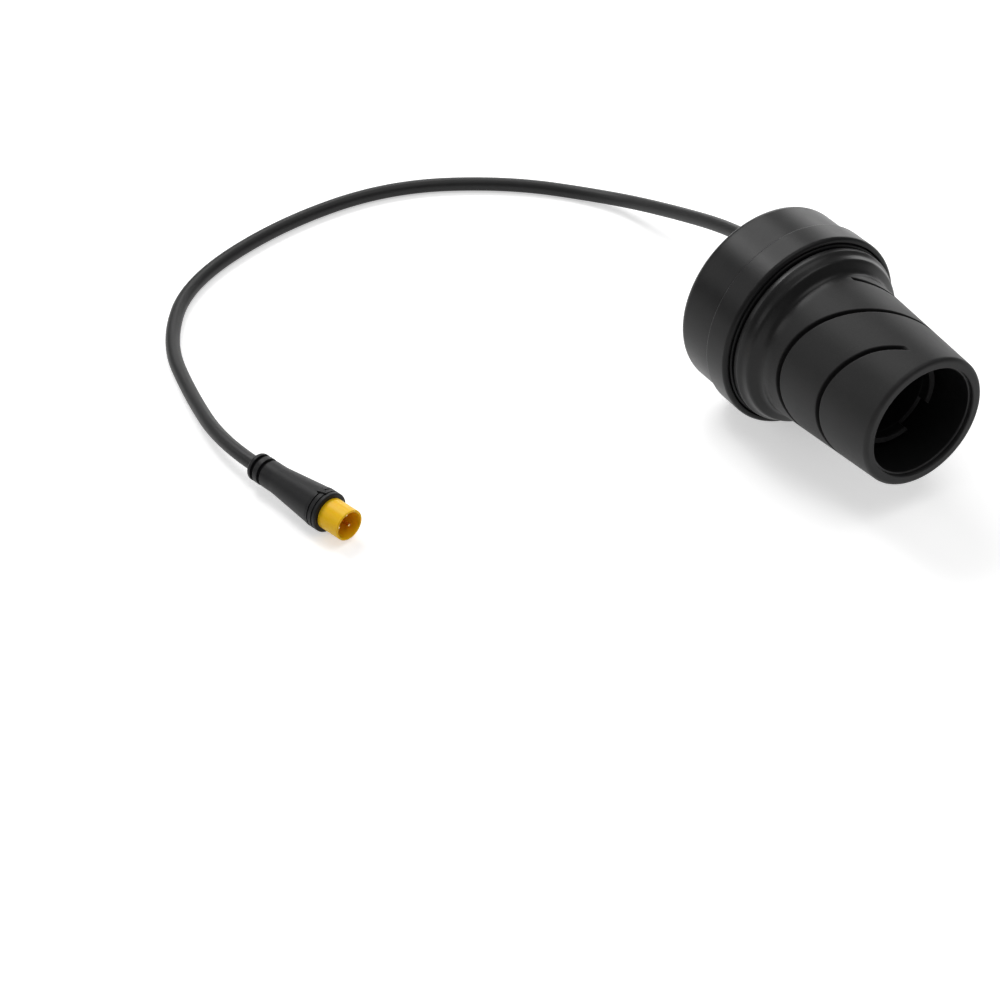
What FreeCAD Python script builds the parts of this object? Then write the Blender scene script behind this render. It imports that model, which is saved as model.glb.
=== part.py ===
import FreeCAD
import Part
import math
import os

from FreeCAD import Vector

# Half twist throttle for a 22.2 mm handlebar, with its signal cable and plug.
# Millimetres. +X runs along the bar from the rear face of the drum to the open
# mouth of the grip, +Y points forward, +Z up. The origin is the centre of the
# bar bore in the plane of the rear face. Angles are measured about +X from +Y.

# Bar and core tube
bar_diameter = 22.2
bar_clearance = 0.1
core_wall = 1.5
overall_length = 68.8
core_recess = 11.6
core_notch_width = 8.4
core_notch_depth = 2.9
core_notch_angle = -45.0

# Drum
drum_length = 21.6
drum_rear_radius = 26.65
drum_front_radius = 27.65
drum_draft = 0.1
drum_wall = 1.8
drum_back_wall = 2.4
drum_step_start = 13.0
drum_step_length = 0.6
drum_step_blend = 0.4
drum_rear_round = 2.2
drum_front_round = 1.1
drum_mouth_chamfer = 0.45

# Front ring that closes the drum
ring_thickness = 2.5
ring_proud = 0.3
ring_shoulder = 0.9
ring_edge_round = 0.45
ring_fit = 0.04
ring_pocket_depth = 1.1
ring_pocket_rim = 1.6

# Rotor: hard carrier that turns on the core tube
running_fit = 0.05
turning_gap = 0.4
flange_thickness = 4.1
carrier_wall = 1.2
mouth_bore_radius = 15.2
carrier_recess = 1.2
rear_land_length = 7.5
front_land_length = 5.0
front_land_setback = 4.2
key_count = 6
key_width = 2.4
key_height = 0.7
key_fit = 0.06

# Rubber grip sleeve
grip_gap = 0.6
grip_flange_inset = 2.25
grip_flange_rim = 1.9
grip_flange_round = 0.5
grip_rear_round = 0.35
dish_length = 1.0
dish_drop = 1.3
dish_blend = 2.5
shoulder_length = 1.3
shoulder_drop = 0.5
shoulder_round = 1.2
grip_root_length = 1.4
grip_root_blend = 1.2
grip_root_radius = 21.25
grip_mouth_radius = 18.45
grip_mouth_round = 1.2
grip_bore_fit = 0.02
grip_lip_radius = 15.7

# Slanted finger grooves in the grip
groove_width = 1.25
groove_depth = 1.2
groove_slant = 30.0
groove_low_angle = 172.0
groove_pitch = 15.8
groove_middle = 22.8
front_arc_half_span = 83.0
rear_arc_half_span = 86.0

# Travel stop
travel = 70.0
stop_angle = 180.0
stop_rib_width = 3.2
stop_rib_height = 1.7
stop_slack = 1.2
stop_floor_gap = 0.35

# Hall sensor and magnets
sensor_angle = 40.0
sensor_radius = 19.6
sensor_width = 4.1
sensor_length = 3.0
sensor_thickness = 1.5
sensor_glue_gap = 0.06
sensor_lead_width = 0.45
sensor_lead_pitch = 1.27
sensor_lead_length = 3.2
post_margin = 0.65
post_back = 1.3
window_gap = 0.7
window_slack = 3.0
magnet_width = 4.0
magnet_depth = 3.4
magnet_length = 3.0
magnet_wall = 0.9
magnet_fit = 0.05

# Return spring
spring_wire = 1.2
spring_radius = 16.0
spring_turns = 2.0
spring_pitch = 1.25
spring_start_angle = 205.0
spring_leg = 6.5
spring_hub_gap = 1.0
spring_axial_gap = 0.4
spring_seat_gap = 0.15
spring_post_radius = 1.5
spring_lug_width = 2.2
spring_lug_radial = 4.2

# Clamp screw on the underside
clamp_angle = -90.0
clamp_screw_diameter = 4.0
clamp_screw_length = 8.0
clamp_screw_socket = 2.0
clamp_socket_depth = 2.5
clamp_tip_gap = 0.15
clamp_thread_gap = 0.05
insert_diameter = 5.0
insert_length = 6.0
insert_cover = 1.6
insert_fit = 0.03
clamp_boss_wall = 1.2
clamp_back_gap = 0.2

# Cable outlet
cable_diameter = 4.1
outlet_wall_distance = 5.35
outlet_angle = -13.3
cable_tail = 0.6
cable_fit = 0.05
grommet_neck_radius = 3.2
grommet_lip_radius = 4.1
grommet_lip_length = 1.4
grommet_tail_length = 7.0
grommet_tail_radius = 2.9
grommet_rib_depth = 0.45
grommet_rib_count = 3
grommet_wall_gap = 0.03

# Wires from the sensor to the cable
wire_diameter = 1.0
wire_drop = 3.2

# Cable plug that lies on the same surface as the drum
plug_collar_radius = 5.5
plug_length = 28.3
plug_tail_radius = 3.85
plug_tail_ring = 1.6
plug_tail_groove = 0.95
plug_tail_groove_depth = 0.75
plug_waist_radius = 3.8
plug_waist_end = 9.0
plug_shoulder_radius = 5.42
plug_collar_length = 3.8
plug_band_width = 0.4
plug_band_depth = 0.25
plug_band_pitch = 1.5
arrow_length = 2.6
arrow_width = 2.0
arrow_height = 0.35
arrow_setback = 1.0
cup_radius = 4.3
cup_wall = 0.6
cup_projection = 7.2
cup_engagement = 5.0
cup_tail_radius = 3.9
cup_floor = 6.2
cup_mouth_round = 0.25
cup_fit = 0.03
cup_key_width = 1.0
cup_key_height = 0.8
pin_diameter = 1.0
pin_circle_radius = 2.2
pin_start_angle = 72.0
pin_projection = 4.6
pin_count = 3
pin_fit = 0.02

# Lengths and radii that follow from the sizes above
bore_radius = bar_diameter / 2 + bar_clearance
core_radius = bore_radius + core_wall
core_end = overall_length - core_recess
floor_z = -drum_front_radius
ring_front = drum_length + ring_proud
ring_back = ring_front - ring_thickness
drum_mouth_radius = drum_front_radius - drum_wall
shoulder_radius = drum_mouth_radius - ring_shoulder
drum_rear_bore = drum_rear_radius - drum_wall
ring_radius = drum_mouth_radius - ring_fit
flange_front = ring_back - turning_gap
flange_back = flange_front - flange_thickness
flange_radius = shoulder_radius - turning_gap
grip_flange_radius = drum_front_radius - grip_flange_inset
outlet_radius = drum_rear_bore - outlet_wall_distance
lip_end = drum_back_wall + grommet_lip_length
carrier_bore = core_radius + running_fit
carrier_radius = mouth_bore_radius + carrier_wall
carrier_end = overall_length - carrier_recess
grip_back = ring_front + grip_gap
hub_radius = spring_radius - spring_wire / 2 - spring_hub_gap
hub_end = flange_back - turning_gap
cable_radius = cable_diameter / 2
wire_radius = wire_diameter / 2
plug_axis_z = floor_z + plug_collar_radius


def polar(angle, radius, x=0.0):
    """Point at an angle about the bar axis, at a radius and a place along it."""
    turn = math.radians(angle)
    return Vector(x, radius * math.cos(turn), radius * math.sin(turn))


def rounded_outline(corners):
    """Closed wire through corners (x, radius, round) with tangent arcs."""
    count = len(corners)
    points = [Vector(corner[0], corner[1], 0) for corner in corners]
    joints = []
    for index in range(count):
        here = points[index]
        size = corners[index][2] if len(corners[index]) > 2 else 0.0
        arriving = (here - points[index - 1]).normalize()
        leaving = (points[(index + 1) % count] - here).normalize()
        turn = arriving.getAngle(leaving)
        if size <= 0.0 or turn < 1e-6:
            joints.append((here, None, here))
            continue
        reach = size * math.tan(turn / 2)
        bisector = (leaving - arriving).normalize()
        middle = here + bisector * (size / math.cos(turn / 2) - size)
        joints.append((here - arriving * reach, middle, here + leaving * reach))
    edges = []
    for index in range(count):
        start, middle, end = joints[index]
        if middle is not None:
            edges.append(Part.Arc(start, middle, end).toShape())
        following = joints[(index + 1) % count][0]
        if end.distanceToPoint(following) > 1e-6:
            edges.append(Part.LineSegment(end, following).toShape())
    return Part.Wire(edges)


def turned(corners):
    """Solid of revolution about the bar axis from a rounded outline."""
    face = Part.Face(rounded_outline(corners))
    return face.revolve(Vector(0, 0, 0), Vector(1, 0, 0), 360)


def tube(x_start, x_end, inner, outer):
    """Plain ring about the bar axis."""
    return turned([(x_start, inner), (x_start, outer), (x_end, outer), (x_end, inner)])


def sector(x_start, x_end, inner, outer, angle_start, angle_end):
    """Part of a ring between two angles about the bar axis."""
    corners = [(x_start, inner), (x_start, outer), (x_end, outer), (x_end, inner)]
    face = Part.Face(rounded_outline(corners))
    face.rotate(Vector(0, 0, 0), Vector(1, 0, 0), angle_start)
    return face.revolve(Vector(0, 0, 0), Vector(1, 0, 0), angle_end - angle_start)


def block(x_start, x_end, inner, outer, width, angle, offset=0.0):
    """Box between two radii, centred on an angle and moved sideways by offset."""
    box = Part.makeBox(x_end - x_start, outer - inner, width,
                       Vector(x_start, inner, offset - width / 2))
    box.rotate(Vector(0, 0, 0), Vector(1, 0, 0), angle)
    return box


def radial_cylinder(x, angle, inner, outer, radius):
    """Cylinder that points outwards from the bar axis."""
    direction = polar(angle, 1.0)
    return Part.makeCylinder(radius, outer - inner, polar(angle, inner, x), direction)


def axial_cylinder(x_start, x_end, centre, radius):
    """Cylinder along the bar axis through the point centre."""
    return Part.makeCylinder(radius, x_end - x_start,
                             Vector(x_start, centre.y, centre.z), Vector(1, 0, 0))


def routed_path(points):
    """Wire of straight runs with the largest tangent arcs, its radii and length."""
    edges = []
    radii = []
    start = points[0]
    for index in range(1, len(points) - 1):
        here = points[index]
        arriving = here - points[index - 1]
        leaving = points[index + 1] - here
        reach = 0.45 * min(arriving.Length, leaving.Length)
        arriving.normalize()
        leaving.normalize()
        turn = arriving.getAngle(leaving)
        radius = reach / math.tan(turn / 2)
        bisector = (leaving - arriving).normalize()
        entry = here - arriving * reach
        leave = here + leaving * reach
        middle = here + bisector * (radius / math.cos(turn / 2) - radius)
        edges.append(Part.LineSegment(start, entry).toShape())
        edges.append(Part.Arc(entry, middle, leave).toShape())
        radii.append(radius)
        start = leave
    edges.append(Part.LineSegment(start, points[-1]).toShape())
    path = Part.Wire(edges)
    return path, radii


def routed_tube(points, radius):
    """Round tube along a routed path."""
    path, radii = routed_path(points)
    heading = (points[1] - points[0]).normalize()
    section = Part.Wire([Part.Circle(points[0], heading, radius).toShape()])
    solid = path.makePipeShell([section], True, False)
    return solid, radii, path.Length


# Base housing: drum, back wall and core tube in one moulding
def make_base_housing():
    step_end = drum_step_start + drum_step_length
    inner_step = step_end - drum_wall
    mouth_edge = drum_mouth_radius + drum_mouth_chamfer
    body = turned([
        (0, bore_radius),
        (0, drum_rear_radius, drum_rear_round),
        (drum_step_start, drum_rear_radius, drum_step_blend),
        (step_end, drum_front_radius - drum_draft, drum_step_blend),
        (drum_length, drum_front_radius, drum_front_round),
        (drum_length, mouth_edge),
        (drum_length - drum_mouth_chamfer, drum_mouth_radius),
        (ring_back, drum_mouth_radius),
        (ring_back, shoulder_radius),
        (inner_step, shoulder_radius),
        (inner_step - ring_shoulder, drum_rear_bore),
        (drum_back_wall, drum_rear_bore),
        (drum_back_wall, hub_radius),
        (hub_end, hub_radius),
        (hub_end, core_radius),
        (core_end, core_radius),
        (core_end, bore_radius),
    ])
    # Boss that carries the clamp screw, from the hub to the drum wall
    clamp_x = clamp_place()
    boss_half = insert_diameter / 2 + clamp_boss_wall
    boss = block(drum_back_wall, clamp_x + boss_half, core_radius, drum_rear_bore + drum_wall / 2,
                 2 * boss_half, clamp_angle)
    # Post that holds the sensor in the window of the rotor
    post = sensor_post()
    # Rib that stops the rotor at both ends of its travel
    rib = block(flange_back - turning_gap, ring_back, shoulder_radius - stop_rib_height,
                shoulder_radius + ring_shoulder / 2, stop_rib_width, stop_angle)
    # Pin that the fixed leg of the spring leans on
    pin_centre = spring_post_centre()
    pin = axial_cylinder(drum_back_wall, spring_first_x() + spring_wire, pin_centre, spring_post_radius)
    body = body.fuse([boss, post, rib, pin])
    # Notch in the end of the core tube
    notch = block(core_end - core_notch_depth, core_end + 1, 0, core_radius + 1,
                  core_notch_width, core_notch_angle)
    # Stepped hole for the clamp screw and its insert
    screw_hole = radial_cylinder(clamp_x, clamp_angle, 0, insert_inner_radius(),
                                 clamp_screw_diameter / 2 + clamp_thread_gap)
    insert_hole = radial_cylinder(clamp_x, clamp_angle, insert_inner_radius(), drum_front_radius,
                                  insert_diameter / 2 + insert_fit)
    # Hole for the cable grommet, with room for its lip where the hub comes near
    outlet = axial_cylinder(-1, drum_back_wall + 1, outlet_centre(),
                            grommet_neck_radius + grommet_wall_gap)
    lip_room = axial_cylinder(drum_back_wall, lip_end + grommet_wall_gap, outlet_centre(),
                              grommet_lip_radius + grommet_wall_gap)
    return body.cut([notch, screw_hole, insert_hole, outlet, lip_room]).removeSplitter()


def clamp_place():
    """Place of the clamp screw along the bar."""
    return drum_back_wall + clamp_back_gap + insert_diameter / 2


def insert_inner_radius():
    """Distance from the bar axis to the inner end of the threaded insert."""
    return core_radius + insert_cover


def make_clamp_insert():
    inner = insert_inner_radius()
    sleeve = radial_cylinder(clamp_place(), clamp_angle, inner, inner + insert_length, insert_diameter / 2)
    thread = radial_cylinder(clamp_place(), clamp_angle, inner - 1, inner + insert_length + 1,
                             clamp_screw_diameter / 2 + clamp_thread_gap)
    return sleeve.cut(thread)


def make_clamp_screw():
    tip = bore_radius + clamp_tip_gap
    head = tip + clamp_screw_length
    shank = radial_cylinder(clamp_place(), clamp_angle, tip, head, clamp_screw_diameter / 2)
    corner = clamp_screw_socket / math.sqrt(3)
    points = []
    for index in range(7):
        turn = math.radians(60 * index)
        points.append(Vector(corner * math.cos(turn), corner * math.sin(turn), 0))
    socket = Part.Face(Part.makePolygon(points)).extrude(Vector(0, 0, clamp_socket_depth + 1))
    direction = polar(clamp_angle, 1.0)
    placement = FreeCAD.Placement(polar(clamp_angle, head - clamp_socket_depth, clamp_place()),
                                  FreeCAD.Rotation(Vector(0, 0, 1), direction))
    socket.Placement = placement
    return shank.cut(socket)


# Ring that is pressed into the drum and holds the rotor in
def make_front_ring():
    inner = carrier_radius + turning_gap
    pocket_inner = inner + ring_pocket_rim
    pocket_outer = shoulder_radius - ring_pocket_rim
    body = turned([
        (ring_back, inner),
        (ring_back, ring_radius),
        (ring_front, ring_radius, ring_edge_round),
        (ring_front, inner, ring_edge_round),
    ])
    pocket = tube(ring_front - ring_pocket_depth, ring_front + 1, pocket_inner, pocket_outer)
    return body.cut(pocket)


# Rotor carrier: flange with the magnet pockets, neck and tube
def make_rotor_carrier():
    land_front = core_end - core_notch_depth - front_land_setback
    land_back = land_front - front_land_length
    rear_land_end = flange_back + rear_land_length
    body = turned([
        (flange_back, carrier_bore),
        (flange_back, flange_radius),
        (flange_front, flange_radius),
        (flange_front, carrier_radius),
        (carrier_end, carrier_radius, 0.3),
        (carrier_end, mouth_bore_radius, 0.3),
        (land_front, mouth_bore_radius),
        (land_front, carrier_bore),
        (land_back, carrier_bore),
        (land_back, mouth_bore_radius),
        (rear_land_end, mouth_bore_radius),
        (rear_land_end, carrier_bore),
    ])
    keys = [carrier_key(index, 0.0) for index in range(key_count)]
    lug = spring_lug()
    body = body.fuse(keys + [lug])
    window_low, window_high = window_angles()
    window = sector(flange_back - 1, flange_front + 1, window_inner(), window_outer(),
                    window_low, window_high)
    stop_low, stop_high = stop_notch_angles()
    stop_floor = shoulder_radius - stop_rib_height - stop_floor_gap
    stop_notch = sector(flange_back - 1, flange_front + 1, stop_floor, flange_radius + 1,
                        stop_low, stop_high)
    pockets = [magnet_block(side, magnet_fit, 1.0) for side in (-1, 1)]
    return body.cut([window, stop_notch] + pockets).removeSplitter()


def carrier_key(index, margin):
    """Long key on the carrier that keeps the rubber from turning on it."""
    angle = 360.0 * index / key_count
    return block(grip_back + key_width, carrier_end - key_width + margin,
                 carrier_radius - carrier_wall / 2, carrier_radius + key_height + margin,
                 key_width + 2 * margin, angle)


def window_inner():
    """Inner radius of the window that passes over the sensor."""
    return sensor_radius - sensor_width / 2 - post_margin - window_gap


def window_outer():
    """Outer radius of the window that passes over the sensor."""
    return sensor_radius + sensor_width / 2 + post_margin + window_gap


def post_half_angle():
    """Half of the angle that the sensor post takes up at the window's inner radius."""
    half = max(sensor_thickness, post_back) + post_margin
    return math.degrees(math.atan2(half, window_inner()))


def window_angles():
    """Ends of the window: the sensor stays in it from rest to full travel."""
    reach = post_half_angle() + window_slack
    return sensor_angle - travel - reach, sensor_angle + reach


def stop_notch_angles():
    """Ends of the notch that takes the stop rib from rest to full travel."""
    half = math.degrees(math.atan2(stop_rib_width / 2, shoulder_radius - stop_rib_height))
    return stop_angle - travel - half - stop_slack, stop_angle + half + stop_slack


def magnet_block(side, margin, rear_margin):
    """Magnet at one end of the window, or its pocket when margins are given."""
    low, high = window_angles()
    step = math.degrees(math.atan2(magnet_wall + magnet_depth / 2, window_inner()))
    angle = high + step if side > 0 else low - step
    return block(flange_back - rear_margin, flange_back + magnet_length,
                 sensor_radius - magnet_width / 2 - margin, sensor_radius + magnet_width / 2 + margin,
                 magnet_depth + 2 * margin, angle)


def make_magnet(side):
    return magnet_block(side, 0.0, 0.0)


# Rubber grip sleeve with its dished flange and slanted grooves
def make_grip_sleeve():
    rim_end = grip_back + grip_flange_rim
    dish = rim_end + dish_length
    dish_radius = grip_flange_radius - dish_drop
    shoulder = dish + shoulder_length
    shoulder_end_radius = dish_radius - shoulder_drop
    bore = carrier_radius + grip_bore_fit
    # Lip that holds the rubber over the end of the carrier
    lip_back = carrier_end + grip_bore_fit
    body = turned([
        (grip_back, bore),
        (grip_back, grip_flange_radius, grip_rear_round),
        (rim_end, grip_flange_radius, grip_flange_round),
        (dish, dish_radius, dish_blend),
        (shoulder, shoulder_end_radius, shoulder_round),
        (grip_root(), grip_root_radius, grip_root_blend),
        (overall_length, grip_mouth_radius, grip_mouth_round),
        (overall_length, grip_lip_radius, grip_rear_round),
        (lip_back, grip_lip_radius),
        (lip_back, bore),
    ])
    slots = [carrier_key(index, key_fit) for index in range(key_count)]
    middle = overall_length - groove_middle
    grooves = [
        slanted_groove(middle + groove_pitch, groove_low_angle, front_arc_half_span),
        slanted_groove(middle, groove_low_angle, 180.0),
        slanted_groove(middle - groove_pitch, groove_low_angle + 180.0, rear_arc_half_span),
    ]
    return body.cut(slots + grooves).removeSplitter()


def grip_root():
    """Place along the bar where the grip's taper starts."""
    return grip_back + grip_flange_rim + dish_length + shoulder_length + grip_root_length


def grip_radius_at(x):
    """Radius of the grip's taper at a place along the bar."""
    root = grip_root()
    share = (x - root) / (overall_length - root)
    return grip_root_radius + (grip_mouth_radius - grip_root_radius) * share


def slanted_groove(x_centre, arc_angle, half_span):
    """Groove in a slanted plane, all round or over an arc about arc_angle."""
    spread = grip_root_radius
    back = x_centre - spread
    front = x_centre + spread
    shell = turned([
        (back, grip_radius_at(back) - groove_depth),
        (back, grip_radius_at(back) + groove_depth),
        (front, grip_radius_at(front) + groove_depth),
        (front, grip_radius_at(front) - groove_depth),
    ])
    size = 4 * spread
    slab = Part.makeBox(groove_width, size, size, Vector(-groove_width / 2, -size / 2, -size / 2))
    slab.rotate(Vector(0, 0, 0), Vector(0, 0, 1), -groove_slant)
    slab.rotate(Vector(0, 0, 0), Vector(1, 0, 0), groove_low_angle - 180.0)
    slab.translate(Vector(x_centre, 0, 0))
    ring = shell.common(slab)
    if half_span >= 180.0:
        return ring
    arc = sector(back - 1, front + 1, grip_mouth_radius / 2, 2 * spread,
                 arc_angle - half_span, arc_angle + half_span)
    return ring.common(arc)


# Hall sensor on its post
def sensor_post():
    """Post on the back wall with a channel down one side for the sensor and its wires."""
    front = flange_front - turning_gap
    inner = sensor_radius - sensor_width / 2 - post_margin
    outer = sensor_radius + sensor_width / 2 + post_margin
    post = block(drum_back_wall, front, inner, outer, sensor_thickness + sensor_glue_gap + post_back,
                 sensor_angle, (post_back - sensor_thickness - sensor_glue_gap) / 2)
    channel = block(drum_back_wall, front + 1,
                    inner + post_margin - sensor_glue_gap, outer - post_margin + sensor_glue_gap,
                    2 * (sensor_thickness + sensor_glue_gap), sensor_angle,
                    -sensor_thickness - sensor_glue_gap)
    # Below the leads the sides of the channel end, so that the wires can leave it
    relief = block(drum_back_wall, sensor_back() - sensor_lead_length / 2, inner - 1, outer + 1,
                   2 * (sensor_thickness + sensor_glue_gap), sensor_angle,
                   -sensor_thickness - sensor_glue_gap)
    return post.cut([channel, relief])


def sensor_back():
    """Rear end of the sensor's body."""
    return flange_front - turning_gap - sensor_length


def sensor_lead_middle():
    """Sideways place of the middle of the sensor and its leads."""
    return -sensor_glue_gap - sensor_thickness / 2


def make_hall_sensor():
    middle = sensor_lead_middle()
    body = block(sensor_back(), sensor_back() + sensor_length, sensor_radius - sensor_width / 2,
                 sensor_radius + sensor_width / 2, sensor_thickness, sensor_angle, middle)
    leads = []
    for index in (-1, 0, 1):
        centre = sensor_radius + index * sensor_lead_pitch
        leads.append(block(sensor_back() - sensor_lead_length, sensor_back(),
                           centre - sensor_lead_width / 2, centre + sensor_lead_width / 2,
                           sensor_lead_width, sensor_angle, middle))
    return body.fuse(leads).removeSplitter()


def lead_end(index):
    """Point at the rear end of one sensor lead."""
    point = Vector(sensor_back() - sensor_lead_length, sensor_radius + index * sensor_lead_pitch,
                   sensor_lead_middle())
    turn = FreeCAD.Rotation(Vector(1, 0, 0), sensor_angle)
    return turn.multVec(point)


def outlet_centre():
    """Centre of the cable outlet in the rear face."""
    return polar(outlet_angle, outlet_radius)


def cable_inner_end():
    """Inner end of the cable's jacket."""
    return lip_end + cable_tail


# Wires: from each sensor lead back along the post, across, and into the cable
def make_wire(index):
    start = lead_end(index)
    crossing = cable_inner_end() + wire_drop
    aside = start - lead_end(0)
    goal = outlet_centre() + aside
    points = [
        start,
        Vector(crossing, start.y, start.z),
        Vector(crossing, goal.y, goal.z),
        Vector(cable_inner_end(), goal.y, goal.z),
    ]
    solid, radii, length = routed_tube(points, wire_radius)
    return solid


# Return spring: coils round the hub with two straight legs
def spring_first_x():
    """Place along the bar of the spring's first coil."""
    return hub_end - spring_turns * spring_pitch - spring_wire / 2


def spring_end_angle():
    """Angle at which the coils end on the rotor's side."""
    return spring_start_angle + 360.0 * spring_turns


def spring_leg_end(angle, x, sense):
    """Free end of a straight leg that leaves the coil at an angle."""
    turn = math.radians(angle)
    along = Vector(0, -math.sin(turn), math.cos(turn)) * (sense * spring_leg)
    return polar(angle, spring_radius, x) + along


def make_return_spring():
    first = spring_first_x()
    height = spring_turns * spring_pitch
    last = first + height
    helix = Part.makeHelix(spring_pitch, height, spring_radius)
    turn = FreeCAD.Rotation(Vector(0, 0, 1), Vector(1, 0, 0))
    helix.Placement = FreeCAD.Placement(Vector(first, 0, 0), turn)
    begin = helix.Vertexes[0].Point
    begin_angle = math.degrees(math.atan2(begin.z, begin.y))
    helix.rotate(Vector(0, 0, 0), Vector(1, 0, 0), spring_start_angle - begin_angle)
    start = polar(spring_start_angle, spring_radius, first)
    end = polar(spring_end_angle(), spring_radius, last)
    leg_start = spring_leg_end(spring_start_angle, first, -1)
    leg_end = spring_leg_end(spring_end_angle(), last, 1)
    edges = [Part.LineSegment(leg_start, start).toShape()]
    edges.extend(helix.Edges)
    edges.append(Part.LineSegment(end, leg_end).toShape())
    path = Part.Wire(Part.__sortEdges__(edges))
    section = Part.Wire([Part.Circle(leg_start, start - leg_start, spring_wire / 2).toShape()])
    return path.makePipeShell([section], True, True)


def spring_post_centre():
    """Centre of the pin on the outer side of the fixed leg's free end."""
    near_end = spring_leg_end(spring_start_angle, 0.0, -0.75)
    outward = polar(spring_start_angle, 1.0)
    return near_end + outward * (spring_wire / 2 + spring_seat_gap + spring_post_radius)


def spring_lug():
    """Lug on the rotor's flange beside the moving leg's free end."""
    angle = spring_end_angle()
    along = spring_leg * 0.75
    inner = spring_radius + spring_wire / 2 + spring_seat_gap
    back = hub_end - spring_wire - spring_axial_gap
    return block(back, flange_back + 1, inner, inner + spring_lug_radial, spring_lug_width, angle, along)


# Grommet in the back wall, with ribs on its tail
def make_cable_grommet():
    rib_space = grommet_tail_length / (grommet_rib_count + 1)
    corners = [
        (lip_end, 0),
        (lip_end, grommet_lip_radius, 0.4),
        (drum_back_wall, grommet_lip_radius),
        (drum_back_wall, grommet_neck_radius),
        (0, grommet_neck_radius),
        (0, grommet_lip_radius, 0.3),
    ]
    for index in range(grommet_rib_count):
        place = -(index + 0.55) * rib_space - grommet_lip_length * 0.3
        share = -place / grommet_tail_length
        radius = grommet_lip_radius + (grommet_tail_radius - grommet_lip_radius) * share
        half = rib_space * 0.22
        corners.append((place + half, radius))
        corners.append((place + half, radius - grommet_rib_depth))
        corners.append((place - half, radius - grommet_rib_depth))
        corners.append((place - half, radius))
    corners.append((-grommet_tail_length, grommet_tail_radius, 0.4))
    corners.append((-grommet_tail_length, 0))
    body = turned(corners)
    centre = outlet_centre()
    body.translate(Vector(0, centre.y, centre.z))
    hole = axial_cylinder(-grommet_tail_length - 1, lip_end + 1, centre, cable_radius + cable_fit)
    return body.cut(hole)


# Cable route: out of the grommet, down to the surface and round to the plug
plug_start = Vector(-30.23, -137.88, plug_axis_z)
plug_heading = 13.5
cable_last_run = 14.0
cable_on_surface = floor_z + cable_radius


def plug_direction():
    """Direction in which the plug points, level with the surface."""
    turn = math.radians(plug_heading)
    return Vector(math.cos(turn), math.sin(turn), 0)


def cable_points():
    """Points of the cable's route from its inner end to the plug."""
    outlet = outlet_centre()
    return [
        Vector(cable_inner_end(), outlet.y, outlet.z),
        Vector(-19.0, outlet.y, outlet.z),
        Vector(-46.0, 19.6, -9.0),
        Vector(-72.0, 20.0, -18.5),
        Vector(-96.2, 16.1, cable_on_surface),
        Vector(-119.9, -5.5, cable_on_surface),
        Vector(-136.8, -37.8, cable_on_surface),
        Vector(-135.0, -76.5, cable_on_surface),
        Vector(-121.0, -113.2, cable_on_surface),
        Vector(-96.9, -131.2, cable_on_surface),
        Vector(-71.4, -136.7, cable_on_surface),
        plug_start - plug_direction() * cable_last_run,
        plug_start,
    ]


def make_cable():
    solid, radii, length = routed_tube(cable_points(), cable_radius)
    section = math.pi * cable_radius ** 2
    print("cable bend radii", [round(radius, 1) for radius in radii])
    print("cable length", round(length, 1), "volume share", round(solid.Volume / (section * length), 4))
    return solid


def on_plug(shape):
    """Move a shape that was made along +X from the origin onto the plug's axis."""
    shape.Placement = FreeCAD.Placement(plug_start, FreeCAD.Rotation(Vector(0, 0, 1), plug_heading))
    return shape


# Plug: overmoulded grip, cup with a key, and three contact pins
def make_plug_body():
    ring = plug_tail_ring
    groove = plug_tail_groove
    low = plug_tail_radius - plug_tail_groove_depth
    first = ring + groove
    second = first + ring + groove
    collar = plug_length - plug_collar_length
    corners = [
        (0, 0),
        (0, plug_tail_radius, 1.1),
        (ring, plug_tail_radius, 0.15),
        (ring, low),
        (first, low),
        (first, plug_tail_radius, 0.15),
        (first + ring, plug_tail_radius, 0.15),
        (first + ring, low),
        (second, low),
        (second, plug_waist_radius, 0.2),
        (plug_waist_end, plug_waist_radius, 8.0),
        (collar, plug_shoulder_radius),
        (collar, plug_collar_radius),
    ]
    for index in range(2):
        place = collar + plug_band_pitch * (index + 0.55)
        corners.append((place, plug_collar_radius))
        corners.append((place, plug_collar_radius - plug_band_depth))
        corners.append((place + plug_band_width, plug_collar_radius - plug_band_depth))
        corners.append((place + plug_band_width, plug_collar_radius))
    corners.append((plug_length, plug_collar_radius, 0.4))
    corners.append((plug_length, 0))
    body = turned(corners)
    socket = axial_cylinder(plug_length - cup_engagement, plug_length + 1, Vector(0, 0, 0),
                            cup_tail_radius + cup_fit)
    tip = plug_length - arrow_setback
    lift = plug_collar_radius - 0.5
    arrow_points = [
        Vector(tip, 0, lift),
        Vector(tip - arrow_length, arrow_width / 2, lift),
        Vector(tip - arrow_length, -arrow_width / 2, lift),
        Vector(tip, 0, lift),
    ]
    arrow = Part.Face(Part.makePolygon(arrow_points)).extrude(Vector(0, 0, 0.5 + arrow_height))
    return on_plug(body.fuse(arrow).cut(socket).removeSplitter())


def make_plug_cup():
    back = plug_length - cup_engagement
    seat = plug_length + cup_fit
    front = plug_length + cup_projection
    inner = cup_radius - cup_wall
    floor = front - cup_floor
    body = turned([
        (back, 0),
        (back, cup_tail_radius),
        (seat, cup_tail_radius),
        (seat, cup_radius),
        (front, cup_radius, cup_mouth_round),
        (front, inner, cup_mouth_round),
        (floor, inner),
        (floor, 0),
    ])
    key = block(floor - 0.5, front - cup_key_height, inner - cup_key_height, inner + cup_wall / 2,
                cup_key_width, 150.0)
    holes = [plug_pin(index, back - 1, floor + 1, pin_fit) for index in range(pin_count)]
    return on_plug(body.fuse(key).cut(holes).removeSplitter())


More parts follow.
